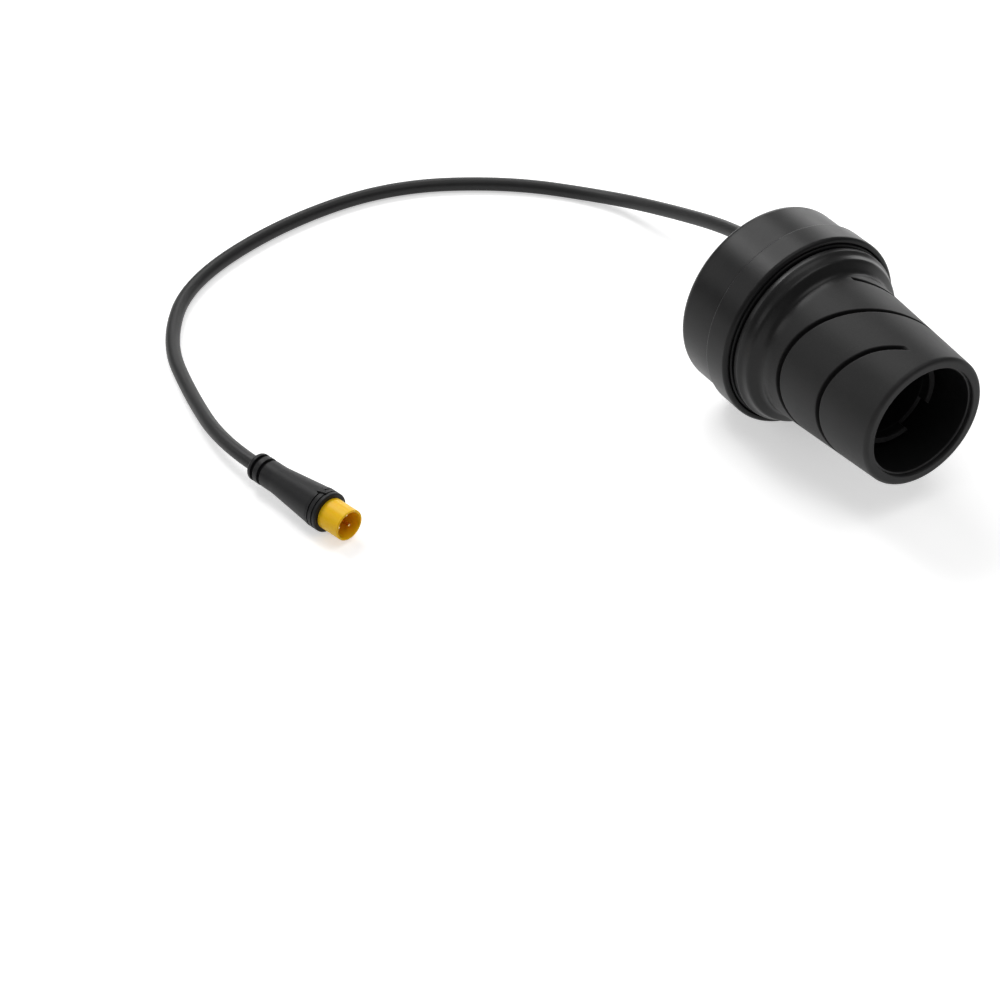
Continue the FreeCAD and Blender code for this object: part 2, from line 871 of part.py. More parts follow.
def plug_pin(index, x_start, x_end, margin):
    """Round pin, or its hole when a margin is given."""
    centre = polar(pin_start_angle + 360.0 * index / pin_count, pin_circle_radius)
    return axial_cylinder(x_start, x_end, centre, pin_diameter / 2 + margin)


def make_contact_pins():
    back = plug_length - cup_engagement
    floor = plug_length + cup_projection - cup_floor
    pins = []
    for index in range(pin_count):
        pin = plug_pin(index, back, floor + pin_projection, 0.0)
        tip = [edge for edge in pin.Edges if abs(edge.CenterOfMass.x - floor - pin_projection) < 1e-6]
        pins.append(pin.makeFillet(pin_diameter * 0.3, tip))
    return on_plug(Part.makeCompound(pins))


def build():
    os.makedirs("parts", exist_ok=True)
    pieces = {
        "base_housing": make_base_housing(),
        "front_ring": make_front_ring(),
        "clamp_insert": make_clamp_insert(),
        "clamp_screw": make_clamp_screw(),
        "hall_sensor": make_hall_sensor(),
        "supply_wire": make_wire(1),
        "signal_wire": make_wire(0),
        "ground_wire": make_wire(-1),
        "return_spring": make_return_spring(),
        "cable_grommet": make_cable_grommet(),
        "cable": make_cable(),
        "plug_body": make_plug_body(),
        "plug_cup": make_plug_cup(),
        "contact_pins": make_contact_pins(),
        "rotor_carrier": make_rotor_carrier(),
        "grip_sleeve": make_grip_sleeve(),
        "magnet_a": make_magnet(1),
        "magnet_b": make_magnet(-1),
    }
    for name, shape in pieces.items():
        box = shape.BoundBox
        print(name, "solids", len(shape.Solids), "valid", shape.isValid(), "volume", round(shape.Volume, 1),
              "x", round(box.XMin, 1), round(box.XMax, 1), "z", round(box.ZMin, 2), round(box.ZMax, 2))
        shape.exportStep("parts/" + name + ".step")


build()
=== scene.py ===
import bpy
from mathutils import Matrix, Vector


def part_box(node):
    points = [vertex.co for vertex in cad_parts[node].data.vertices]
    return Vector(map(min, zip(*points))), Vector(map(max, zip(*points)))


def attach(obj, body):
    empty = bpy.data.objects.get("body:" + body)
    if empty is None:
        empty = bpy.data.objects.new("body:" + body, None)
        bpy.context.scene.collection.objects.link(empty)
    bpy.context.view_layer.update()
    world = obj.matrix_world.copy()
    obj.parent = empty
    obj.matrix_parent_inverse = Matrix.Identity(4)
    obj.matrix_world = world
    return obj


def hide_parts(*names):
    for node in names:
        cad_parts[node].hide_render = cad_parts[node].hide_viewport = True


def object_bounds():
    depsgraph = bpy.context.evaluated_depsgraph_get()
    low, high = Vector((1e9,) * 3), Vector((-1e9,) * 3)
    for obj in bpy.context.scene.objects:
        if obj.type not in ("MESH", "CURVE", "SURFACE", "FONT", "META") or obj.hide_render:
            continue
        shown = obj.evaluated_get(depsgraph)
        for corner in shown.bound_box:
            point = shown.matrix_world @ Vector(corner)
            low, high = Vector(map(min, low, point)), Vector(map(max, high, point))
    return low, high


bl_info = {
    "name": "Half Twist Throttle",
    "version": (1, 0, 0),
    "blender": (4, 5, 0),
    "location": "View3D > Sidebar > Throttle",
    "description": "Dresses the packed twist throttle with its finishes, cable, plug and studio",
    "category": "Object",
}

import math

import bmesh
import bpy
from bpy.props import (
    FloatProperty,
    FloatVectorProperty,
    IntProperty,
    PointerProperty,
)
from mathutils import Matrix, Vector

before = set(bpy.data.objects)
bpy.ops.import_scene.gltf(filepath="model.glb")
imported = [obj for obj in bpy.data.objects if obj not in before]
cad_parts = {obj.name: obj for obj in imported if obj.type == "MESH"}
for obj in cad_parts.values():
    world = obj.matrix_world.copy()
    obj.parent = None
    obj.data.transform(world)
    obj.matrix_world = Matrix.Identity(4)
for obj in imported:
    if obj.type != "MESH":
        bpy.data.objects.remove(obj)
cad_low, cad_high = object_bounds()
grip_low, grip_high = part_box("grip_sleeve")
carrier_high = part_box("rotor_carrier")[1]

# One millimetre in the scene's metres
MM = 0.001

# Length in metres under which two points are one
TINY = 1e-9

WHITE = (1.0, 1.0, 1.0)

# Points of the cable's route, from inside the drum to the plug, in metres.
# They repeat the solid cable's route, but for the third, which was moved to follow the photograph.
CABLE_ROUTE = (
    (0.0044, 0.018977, -0.004486),
    (-0.019, 0.018977, -0.004486),
    (-0.042, 0.021, -0.009),
    (-0.072, 0.020, -0.0185),
    (-0.0962, 0.0161, -0.0256),
    (-0.1199, -0.0055, -0.0256),
    (-0.1368, -0.0378, -0.0256),
    (-0.135, -0.0765, -0.0256),
    (-0.121, -0.1132, -0.0256),
    (-0.0969, -0.1312, -0.0256),
    (-0.0714, -0.1367, -0.0256),
    (-0.043843, -0.141148, -0.02215),
    (-0.03023, -0.13788, -0.02215),
)

# One side of a groove's section, from its lip to its floor: place in half widths, and share of the depth
GROOVE_SIDE = ((1.5, 0.0), (1.16, 0.0), (1.04, 0.05), (0.97, 0.22), (0.9, 0.82), (0.7, 1.0))
GROOVE_MIDDLE = (0.0, 1.0)

# Name of the sleeve's attribute that holds the share of the groove's depth at each point
GROOVE_ATTRIBUTE = "groove_share"

# Angle past the end of a groove's arc beyond which its rows stay where they are
ARC_MARGIN = math.radians(4.0)

# Length over which a groove runs out at the end of its arc, in groove widths
RUN_OUT = 0.35

# Rounds of finding a groove's place, which depends on the radius of the taper at that place
PLACE_ROUNDS = 4

# Rows of points on the sleeve before each groove, and between the front groove and the mouth
ROWS_BEFORE_GROOVE = 9
ROWS_BEFORE_MOUTH = 7

# Step of the arcs in the sleeve's soft blends
FINE_STEP = math.radians(3.0)

# Gap between the carrier's end and the sleeve's lip over it
LIP_GAP = 0.02 * MM

# Softboxes: place and target in metres, width and height in metres, and the setting of the power
SOFTBOXES = {
    "key_softbox": ((-0.65, 0.02, 0.75), (0.0, 0.0, 0.0), (0.8, 0.45), "key_power"),
    "spot_lamp": ((-0.62, -0.17, 0.7), (0.0, 0.0, 0.0), (0.12, 0.12), "spot_power"),
    "left_softbox": ((-0.55, -0.85, 0.5), (0.0, 0.0, 0.0), (0.9, 0.45), "left_power"),
    "top_softbox": ((0.25, 0.1, 0.95), (0.0, -0.05, 0.0), (0.8, 0.6), "top_power"),
    "back_softbox": ((-0.85, 0.9, 0.3), (0.0, 0.0, 0.0), (1.2, 0.5), "back_power"),
}

# Half of the floor's side, and its gap under the lowest solid, in metres
FLOOR_HALF = 20.0
FLOOR_GAP = 0.01 * MM

# Kinds of sockets in the shader groups
COLOUR = "NodeSocketColor"
NUMBER = "NodeSocketFloat"


# Settings

def length(name, description, default):
    """Length setting in metres."""
    return FloatProperty(name=name, description=description, default=default, unit="LENGTH", precision=5)


def angle(name, description, degrees):
    """Angle setting that is written in degrees."""
    return FloatProperty(name=name, description=description, default=math.radians(degrees), unit="ROTATION")


def position(name, description, default):
    """Place setting in metres."""
    return FloatVectorProperty(
        name=name, description=description, default=default,
        size=3, subtype="TRANSLATION", unit="LENGTH", precision=5,
    )


def portion(name, description, default):
    """Setting between nothing and the whole."""
    return FloatProperty(
        name=name, description=description, default=default, min=0.0, max=1.0, subtype="FACTOR"
    )


def number(name, description, default, least):
    """Setting that counts."""
    return IntProperty(name=name, description=description, default=default, min=least)


def power(name, description, watts):
    """Lamp power setting in watts."""
    return FloatProperty(name=name, description=description, default=watts, unit="POWER")


def colour(name, description, default):
    """Colour setting in linear values."""
    return FloatVectorProperty(
        name=name, description=description, default=default, size=3, subtype="COLOR", min=0.0, max=1.0
    )


class GripSizes(bpy.types.PropertyGroup):
    """Sizes of the rubber sleeve"""

    back: length("Back", "Place of the flange's rear face along the bar", grip_low.x)
    mouth: length("Mouth", "Place of the open end along the bar", grip_high.x)
    bore_radius: length("Bore radius", "Radius of the bore round the carrier", 16.42 * MM)
    lip_radius: length("Lip radius", "Inner radius of the lip over the carrier's end", 15.7 * MM)
    lip_back: length("Lip back", "Place of the lip's inner face along the bar", carrier_high.x + LIP_GAP)
    flange_radius: length("Flange radius", "Radius of the flange", 25.4 * MM)
    flange_rim: length("Flange rim", "Thickness of the flange at its rim", 1.6 * MM)
    rim_round: length("Rim round", "Round of the flange's front edge", 0.5 * MM)
    rear_round: length("Rear round", "Round of the flange's rear edge and of the lip's edge", 0.35 * MM)
    dish_length: length("Dish length", "Length of the dish in front of the rim", 0.9 * MM)
    dish_drop: length("Dish drop", "Drop in radius from the rim to the dish", 0.75 * MM)
    dish_blend: length("Dish blend", "Hollow round of the dish", 3.0 * MM)
    shoulder_length: length("Shoulder length", "Length of the shoulder in front of the dish", 2.0 * MM)
    shoulder_drop: length("Shoulder drop", "Drop in radius along the shoulder", 0.5 * MM)
    shoulder_round: length("Shoulder round", "Round of the shoulder's edge", 1.4 * MM)
    root_length: length("Root length", "Length from the shoulder to the root of the taper", 1.7 * MM)
    root_blend: length("Root blend", "Hollow round at the root of the taper", 2.2 * MM)
    root_radius: length("Root radius", "Radius of the taper at its root", 21.21 * MM)
    mouth_radius: length("Mouth radius", "Radius of the taper at the mouth", 18.45 * MM)
    mouth_round: length("Mouth round", "Round of the mouth's outer edge", 1.2 * MM)
    groove_width: length("Groove width", "Width of a slanted groove", 1.25 * MM)
    groove_depth: length("Groove depth", "Depth of a slanted groove", 1.2 * MM)
    groove_middle: length("Middle groove", "Distance of the middle groove from the mouth", 21.7 * MM)
    front_pitch: length("Front pitch", "Distance from the middle groove to the front one", 14.75 * MM)
    rear_pitch: length("Rear pitch", "Distance from the middle groove to the rear one", 16.9 * MM)
    groove_slant: angle("Groove slant", "Slant of the grooves' planes", 30.0)
    groove_low: angle("Groove low side", "Angle about the bar where a groove is nearest the drum", 172.0)
    middle_low: angle("Middle low side", "The same angle for the middle groove", 167.0)
    front_arc: angle("Front arc", "Half of the angle that the front groove spans", 76.8)
    front_curl: length("Front curl", "Bend of the front groove to the mouth at its ends", 1.7 * MM)
    curl_start: angle("Curl start", "Angle from the low side at which that bend starts", 52.0)
    curl_spread: portion("Curl spread", "Share by which that bend widens the groove along the bar", 0.3)
    rear_arc: angle("Rear arc", "Half of the angle that the rear groove spans", 86.0)
    columns: number("Columns", "Columns of faces round the sleeve", 384, 48)


class CableSizes(bpy.types.PropertyGroup):
    """Sizes of the cable"""

    diameter: length("Diameter", "Diameter of the cable's jacket", 4.1 * MM)
    free_length: length("Length", "Length of the cable from its inner end to the plug", 0.3452)


class PlugSizes(bpy.types.PropertyGroup):
    """Place of the plug and sizes of its pins"""

    start: position("Start", "Centre of the plug's rear end", CABLE_ROUTE[-1])
    heading: angle("Heading", "Direction of the plug on the floor, from the bar's direction", 13.5)
    pin_back: length("Pin back", "Place of the pins' rear ends along the plug", 23.3 * MM)
    pin_front: length("Pin front", "Place of the pins' tips along the plug", 33.9 * MM)
    pin_radius: length("Pin radius", "Radius of a contact pin", 0.5 * MM)
    pin_circle: length("Pin circle", "Radius of the circle that the pins stand on", 2.2 * MM)
    pin_turn: angle("Pin turn", "Turn of the pins' circle from upright", -18.0)
    pin_round: length("Pin round", "Round of a pin's tip", 0.3 * MM)
    pin_back_round: length("Pin back round", "Round of a pin's rear edge", 0.08 * MM)
    pin_count: number("Pins", "Number of contact pins", 3, 1)
    pin_segments: number("Pin segments", "Faces round a contact pin", 32, 8)


class FinishColours(bpy.types.PropertyGroup):
    """Colours of the finishes"""

    housing: colour("Housing", "Black plastic of the drum", (0.0108, 0.0108, 0.0111))
    # Darker than the drum's plastic, as painted shade in the gap between the drum and the flange
    ring: colour("Front ring", "Black plastic of the front ring", (0.0075, 0.0075, 0.0078))
    rubber: colour("Rubber", "Black rubber of the sleeve", (0.0102, 0.0102, 0.0105))
    # Painted shade: darker colour for the rubber down in the sleeve's grooves
    groove: colour("Groove", "Rubber down in the sleeve's grooves", (0.0018, 0.0018, 0.0019))
    carrier: colour("Carrier", "Black plastic of the carrier", (0.008, 0.008, 0.0083))
    jacket: colour("Jacket", "Black jacket of the cable", (0.0135, 0.0135, 0.0138))
    plug: colour("Plug", "Black overmoulding of the plug", (0.0095, 0.0096, 0.0105))
    cup: colour("Cup", "Yellow plastic of the cup", (1.0, 0.57, 0.006))
    dust: colour("Dust", "Pale dust that settles on top", (0.22, 0.21, 0.2))
    # Paler tone for edge lines that are partly rubbed wear and partly painted highlight
    rubbed: colour("Rubbed edge", "Tone of dark plastic where an edge is rubbed", (0.055, 0.055, 0.056))
    brass: colour("Brass", "Plated brass of the pins", (0.78, 0.57, 0.24))
    insert: colour("Insert", "Turned brass of the clamp insert", (0.66, 0.47, 0.2))
    screw: colour("Screw", "Blackened steel of the grub screw", (0.07, 0.07, 0.075))
    spring: colour("Spring", "Bright steel of the spring", (0.56, 0.56, 0.58))
    magnet: colour("Magnet", "Nickel plating of the magnets", (0.6, 0.59, 0.57))
    sensor: colour("Sensor", "Epoxy of the sensor", (0.012, 0.012, 0.013))
    wire_red: colour("Supply wire", "Insulation of the supply wire", (0.5, 0.015, 0.015))
    wire_green: colour("Signal wire", "Insulation of the signal wire", (0.015, 0.25, 0.05))
    wire_black: colour("Ground wire", "Insulation of the ground wire", (0.013, 0.013, 0.013))


class StudioSettings(bpy.types.PropertyGroup):
    """Camera, floor and lamps"""

    camera_place: position("Camera", "Place of the camera", (0.457645, -0.365902, 0.388233))
    camera_direction: FloatVectorProperty(
        name="Direction", description="Direction in which the camera looks",
        default=(-0.66744, 0.41350, -0.61931), size=3, subtype="DIRECTION", precision=5,
    )
    lens: FloatProperty(
        name="Lens", description="Focal length of the camera in millimetres", default=93.6, unit="CAMERA"
    )
    floor_colour: colour("Floor", "Pale floor", (0.86, 0.86, 0.86))
    floor_glow: portion("Floor glow", "White that the floor shows to the camera beside its own light", 0.5)
    room_light: portion("Room light", "Strength of the even light", 0.2)
    key_power: power("Key", "Power of the key softbox", 4.8)
    spot_power: power("Spot", "Power of the small lamp by the key", 0.8)
    left_power: power("Left", "Power of the left softbox", 2.0)
    top_power: power("Top", "Power of the top softbox", 2.6)
    back_power: power("Back", "Power of the back softbox", 4.8)


# Meshes

def rounded_line(corners, step=math.radians(9.0), support=0.15 * MM):
    """Points through corners (place, radius, round), with arcs at the rounds and supports on long runs."""
    joints = []
    for index, corner in enumerate(corners):
        here = Vector(corner[:2])
        size = corner[2] if len(corner) > 2 else 0.0
        if index in (0, len(corners) - 1) or size <= 0.0:
            joints.append([here])
            continue
        arriving = (here - Vector(corners[index - 1][:2])).normalized()
        leaving = (Vector(corners[index + 1][:2]) - here).normalized()
        turn = arriving.angle(leaving)
        reach = size * math.tan(turn / 2)
        side = (leaving - arriving).normalized()
        centre = here + side * (size / math.cos(turn / 2))
        start = here - arriving * reach - centre
        sense = 1.0 if arriving.x * leaving.y - arriving.y * leaving.x > 0 else -1.0
        steps = max(2, math.ceil(turn / step))
        arc = []
        for count in range(steps + 1):
            swing = Matrix.Rotation(sense * turn * count / steps, 2)
            arc.append(centre + swing @ start)
        joints.append(arc)
    long_run = 4 * support
    points = []
    for arc in joints:
        if points:
            run = arc[0] - points[-1]
            if run.length > long_run:
                points.append(points[-1] + run.normalized() * support)
                points.append(arc[0] - run.normalized() * support)
        points.extend(arc)
    return points


def turned_mesh(name, corners, segments):
    """Mesh turned about the bar's direction from an outline that starts and ends on the axis."""
    outline = rounded_line(corners)
    shape = bmesh.new()
    rows = []
    for point in outline:
        if point.y < TINY:
            rows.append([shape.verts.new((point.x, 0.0, 0.0))])
            continue
        row = []
        for column in range(segments):
            turn = 2 * math.pi * column / segments
            row.append(shape.verts.new((point.x, point.y * math.cos(turn), point.y * math.sin(turn))))
        rows.append(row)
    for row, following in zip(rows, rows[1:]):
        join_rows(shape, row, following)
    return closed_mesh(name, shape)


def join_rows(shape, row, following):
    """Faces between two rings of points, either of which may be a single point on the axis."""
    count = max(len(row), len(following))
    for column in range(count):
        after = (column + 1) % count
        if len(row) == 1:
            shape.faces.new((row[0], following[after], following[column]))
        elif len(following) == 1:
            shape.faces.new((row[column], row[after], following[0]))
        else:
            shape.faces.new((row[column], row[after], following[after], following[column]))


def closed_mesh(name, shape):
    """Mesh data from a bmesh, with its faces pointing outwards and its shading smooth."""
    bmesh.ops.recalc_face_normals(shape, faces=shape.faces)
    mesh = bpy.data.meshes.new(name)
    shape.to_mesh(mesh)
    shape.free()
    smooth(mesh)
    return mesh


def smooth(mesh, limit=math.radians(40.0)):
    """Smooth shading that keeps real edges sharp."""
    mesh.polygons.foreach_set("use_smooth", [True] * len(mesh.polygons))
    mesh.set_sharp_from_angle(angle=limit)


def add_piece(name, data, material, body, slot, *nodes):
    """Object for finished mesh or curve data, which rides on a body and stands for the CAD nodes."""
    piece = bpy.data.objects.new(name, data)
    bpy.context.scene.collection.objects.link(piece)
    data.materials.clear()
    data.materials.append(material)
    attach(piece, body)
    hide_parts(*nodes)
    return piece


def plug_place(plug):
    """Matrix from the plug's own axis to its place on the floor."""
    return Matrix.Translation(plug.start) @ Matrix.Rotation(plug.heading, 4, "Z")


# Geometry nodes

def ring_pattern():
    """Tree that repeats a piece on a circle round the bar's direction."""
    tree = bpy.data.node_groups.new("Ring Of Pieces", "GeometryNodeTree")
    inputs = {
        "Geometry": "NodeSocketGeometry",
        "Count": "NodeSocketInt",
        "Circle Radius": "NodeSocketFloat",
        "Material": "NodeSocketMaterial",
    }
    for name, kind in inputs.items():
        tree.interface.new_socket(name=name, in_out="INPUT", socket_type=kind)
    tree.interface.new_socket(name="Geometry", in_out="OUTPUT", socket_type="NodeSocketGeometry")
    nodes = tree.nodes
    links = tree.links
    given = nodes.new("NodeGroupInput")
    result = nodes.new("NodeGroupOutput")
    circle = nodes.new("GeometryNodeMeshCircle")
    # The circle lies flat at first, so it is stood up across the bar
    upright = nodes.new("GeometryNodeTransform")
    upright.inputs["Rotation"].default_value = (0.0, math.radians(-90.0), 0.0)
    repeat = nodes.new("GeometryNodeInstanceOnPoints")
    realize = nodes.new("GeometryNodeRealizeInstances")
    paint = nodes.new("GeometryNodeSetMaterial")
    links.new(given.outputs["Count"], circle.inputs["Vertices"])
    links.new(given.outputs["Circle Radius"], circle.inputs["Radius"])
    links.new(circle.outputs["Mesh"], upright.inputs["Geometry"])
    links.new(upright.outputs["Geometry"], repeat.inputs["Points"])
    links.new(given.outputs["Geometry"], repeat.inputs["Instance"])
    links.new(repeat.outputs["Instances"], realize.inputs["Geometry"])
    links.new(realize.outputs["Geometry"], paint.inputs["Geometry"])
    links.new(given.outputs["Material"], paint.inputs["Material"])
    links.new(paint.outputs["Geometry"], result.inputs["Geometry"])
    return tree


def made_by_nodes(name, mesh, tree, values):
    """Plain mesh that a geometry tree makes from a starting mesh and named values."""
    carrier = bpy.data.objects.new(name, mesh)
    bpy.context.scene.collection.objects.link(carrier)
    modifier = carrier.modifiers.new(name, "NODES")
    modifier.node_group = tree
    for socket in tree.interface.items_tree:
        if socket.item_type == "SOCKET" and socket.in_out == "INPUT" and socket.name in values:
            modifier[socket.identifier] = values[socket.name]
    graph = bpy.context.evaluated_depsgraph_get()
    made = bpy.data.meshes.new_from_object(carrier.evaluated_get(graph))
    carrier.modifiers.remove(modifier)
    bpy.data.objects.remove(carrier)
    return made


# Nodes of the shader groups and materials

def feed(tree, socket, value):
    """Give an input socket a link from another socket, a colour or a number."""
    if hasattr(value, "is_output"):
        tree.links.new(value, socket)
    elif hasattr(value, "__len__"):
        socket.default_value = (*value, 1.0)
    else:
        socket.default_value = value


def number_node(tree, operation, *values, clamp=False):
    """Math node whose inputs are sockets or plain numbers."""
    node = tree.nodes.new("ShaderNodeMath")
    node.operation = operation
    node.use_clamp = clamp
    for socket, value in zip(node.inputs, values):
        feed(tree, socket, value)
    return node.outputs[0]


def noise_node(tree, point, scale, detail):
    """Noise value between 0 and 1 at a point, with its scale as a socket or a number."""
    node = tree.nodes.new("ShaderNodeTexNoise")
    node.inputs["Detail"].default_value = detail
    feed(tree, node.inputs["Vector"], point)
    feed(tree, node.inputs["Scale"], scale)
    return node.outputs["Fac"]


def mixed_colour(tree, share, first, second):
    """Colour between two sockets."""
    node = tree.nodes.new("ShaderNodeMix")
    node.data_type = "RGBA"
    tree.links.new(share, node.inputs["Factor"])
    tree.links.new(first, node.inputs["A"])
    tree.links.new(second, node.inputs["B"])
    return [socket for socket in node.outputs if socket.type == "RGBA"][0]


def object_point(tree):
    """Place of the shaded point in the piece's own coordinates."""
    return tree.nodes.new("ShaderNodeTexCoord").outputs["Object"]


def distance_along_bar(tree, point, place):
    """Distance along the bar between the shaded point and a place."""
    split = tree.nodes.new("ShaderNodeSeparateXYZ")
    tree.links.new(point, split.inputs["Vector"])
    return number_node(tree, "ABSOLUTE", number_node(tree, "SUBTRACT", split.outputs["X"], place))


# Shader groups

def shader_group(name, inputs, outputs):
    """Empty shader group with named sockets: its tree, its given outputs and its result inputs."""
    tree = bpy.data.node_groups.new(name, "ShaderNodeTree")
    for label, kind in inputs.items():
        tree.interface.new_socket(name=label, in_out="INPUT", socket_type=kind)
    for label, kind in outputs.items():
        tree.interface.new_socket(name=label, in_out="OUTPUT", socket_type=kind)
    given = tree.nodes.new("NodeGroupInput")
    result = tree.nodes.new("NodeGroupOutput")
    return tree, given.outputs, result.inputs


def moulded_grain():
    """Group: height of a fine moulded texture."""
    tree, given, result = shader_group("Moulded Grain", {"Grain Size": NUMBER}, {"Height": NUMBER})
    pit_share = 0.45
    point = object_point(tree)
    scale = number_node(tree, "DIVIDE", 1.0, given["Grain Size"])
    coarse = noise_node(tree, point, scale, detail=2.0)
    pits = tree.nodes.new("ShaderNodeTexVoronoi")
    tree.links.new(point, pits.inputs["Vector"])
    tree.links.new(scale, pits.inputs["Scale"])
    height = number_node(tree, "MULTIPLY_ADD", pits.outputs["Distance"], pit_share, coarse)
    tree.links.new(height, result["Height"])
    return tree


def tone_and_gloss():
    """Group: colour and roughness that drift over the surface."""
    tree, given, result = shader_group(
        "Tone And Gloss",
        {
            "Colour": COLOUR,
            "Tone Drift": NUMBER,
            "Roughness": NUMBER,
            "Gloss Drift": NUMBER,
            "Patch Size": NUMBER,
        },
        {"Colour": COLOUR, "Roughness": NUMBER},
    )
    noise_middle = 0.5
    specks_per_patch = 5.3
    speck_gloss = 0.6
    point = object_point(tree)
    scale = number_node(tree, "DIVIDE", 1.0, given["Patch Size"])
    fine_scale = number_node(tree, "MULTIPLY", scale, specks_per_patch)
    patches = number_node(tree, "SUBTRACT", noise_node(tree, point, scale, detail=3.0), noise_middle)
    specks = number_node(tree, "SUBTRACT", noise_node(tree, point, fine_scale, detail=4.0), noise_middle)
    drift = number_node(tree, "MULTIPLY", number_node(tree, "ADD", patches, specks), given["Tone Drift"])
    # Noise swings by half to either side of its middle, so a drift is doubled
    tint = tree.nodes.new("ShaderNodeHueSaturation")
    tree.links.new(number_node(tree, "MULTIPLY_ADD", drift, 2.0, 1.0), tint.inputs["Value"])
    tree.links.new(given["Colour"], tint.inputs["Color"])
    tree.links.new(tint.outputs["Color"], result["Colour"])
    swing = number_node(tree, "MULTIPLY", given["Gloss Drift"], 2.0)
    both = number_node(tree, "MULTIPLY_ADD", specks, speck_gloss, patches)
    gloss = number_node(tree, "MULTIPLY_ADD", both, swing, given["Roughness"], clamp=True)
    tree.links.new(gloss, result["Roughness"])
    return tree


def settled_dust():
    """Group: colour with a little pale dust, most of it on what faces up."""
    tree, given, result = shader_group(
        "Settled Dust",
        {"Colour": COLOUR, "Dust Colour": COLOUR, "Amount": NUMBER},
        {"Colour": COLOUR},
    )
    upright_share = 0.2
    clouds_per_metre = 90.0
    grains_per_metre = 2600.0
    contrast = 1.6
    source = tree.nodes.new("ShaderNodeTexCoord")
    split = tree.nodes.new("ShaderNodeSeparateXYZ")
    tree.links.new(source.outputs["Normal"], split.inputs["Vector"])
    upward = number_node(
        tree, "MULTIPLY_ADD", split.outputs["Z"], 1.0 - upright_share, upright_share, clamp=True
    )
    cloud = noise_node(tree, source.outputs["Object"], clouds_per_metre, detail=5.0)
    grains = noise_node(tree, source.outputs["Object"], grains_per_metre, detail=2.0)
    patch = number_node(tree, "POWER", number_node(tree, "MULTIPLY", cloud, grains), contrast)
    share = number_node(tree, "MULTIPLY", number_node(tree, "MULTIPLY", upward, patch), given["Amount"])
    tree.links.new(mixed_colour(tree, share, given["Colour"], given["Dust Colour"]), result["Colour"])
    return tree


def rubbed_edge():
    """Group: colour with a paler line across the bar on an edge, part rubbed wear and part painted
    highlight.
    """
    tree, given, result = shader_group(
        "Rubbed Edge",
        {"Colour": COLOUR, "Rubbed Colour": COLOUR, "Place": NUMBER, "Width": NUMBER, "Amount": NUMBER},
        {"Colour": COLOUR},
    )
    breaks_per_metre = 260.0
    point = object_point(tree)
    near = number_node(tree, "DIVIDE", distance_along_bar(tree, point, given["Place"]), given["Width"])
    # Noise breaks up the paler line, which is partly rubbed wear and partly a painted highlight on the edge
    line = number_node(tree, "SUBTRACT", 1.0, near, clamp=True)
    broken_up = noise_node(tree, point, breaks_per_metre, detail=3.0)
    share = number_node(tree, "MULTIPLY", number_node(tree, "MULTIPLY", line, broken_up), given["Amount"])
    tree.links.new(mixed_colour(tree, share, given["Colour"], given["Rubbed Colour"]), result["Colour"])
    return tree


def polished_stretch():
    """Group: roughness that is lower on a stretch along the bar."""
    tree, given, result = shader_group(
        "Polished Stretch",
        {"Roughness": NUMBER, "Place": NUMBER, "Half Length": NUMBER, "Amount": NUMBER},
        {"Roughness": NUMBER},
    )
    # The polish fades over the last third of the stretch on either side
    fade = 3.0
    gap = distance_along_bar(tree, object_point(tree), given["Place"])
    near = number_node(tree, "DIVIDE", gap, given["Half Length"])
    inside = number_node(tree, "MULTIPLY_ADD", near, -fade, fade, clamp=True)
    drop = number_node(tree, "MULTIPLY", inside, given["Amount"])
    tree.links.new(number_node(tree, "SUBTRACT", given["Roughness"], drop), result["Roughness"])
    return tree


def group_tree(maker):
    """Shader group of a maker function, built the first time that it is used."""
    name = maker.__name__.replace("_", " ").title()
    found = bpy.data.node_groups.get(name)
    return found if found else maker()


# Parts of a material

def blank_material(name):
    """New material with its tree and its main shader."""
    material = bpy.data.materials.new(name)
    material.use_nodes = True
    tree = material.node_tree
    return material, tree, tree.nodes["Principled BSDF"]


def place_group(tree, maker, values):
    """Group node in a material, with values given by socket name."""
    node = tree.nodes.new("ShaderNodeGroup")
    node.node_tree = group_tree(maker)
    for name, value in values.items():
        feed(tree, node.inputs[name], value)
    return node


def feeder(shader, target):
    """Socket that feeds an input of a shader."""
    return shader.inputs[target].links[0].from_socket


def insert_group(tree, shader, target, maker, socket, values):
    """Group between a shader's input and its feeder, through a socket that has one name on both sides."""
    group = place_group(tree, maker, {socket: feeder(shader, target), **values})
    tree.links.new(group.outputs[socket], shader.inputs[target])


def drifting_tone(tree, shader, base, tone_drift, roughness, gloss_drift, patch_size):
    """Colour, by the name of its setting, and roughness of a shader, which drift over the surface."""
    tone = place_group(tree, tone_and_gloss, {
        "Colour": getattr(bpy.context.scene.throttle_colours, base),
        "Tone Drift": tone_drift,
        "Roughness": roughness,
        "Gloss Drift": gloss_drift,
        "Patch Size": patch_size,
    })
    tree.links.new(tone.outputs["Colour"], shader.inputs["Base Color"])
    tree.links.new(tone.outputs["Roughness"], shader.inputs["Roughness"])


def grain_bump(tree, shader, grain_size, grain_depth, strength):
    """Fine moulded bump on a shader."""
    grain = place_group(tree, moulded_grain, {"Grain Size": grain_size})
    bump = tree.nodes.new("ShaderNodeBump")
    bump.inputs["Strength"].default_value = strength
    bump.inputs["Distance"].default_value = grain_depth
    tree.links.new(grain.outputs["Height"], bump.inputs["Height"])
    tree.links.new(bump.outputs["Normal"], shader.inputs["Normal"])


# Materials

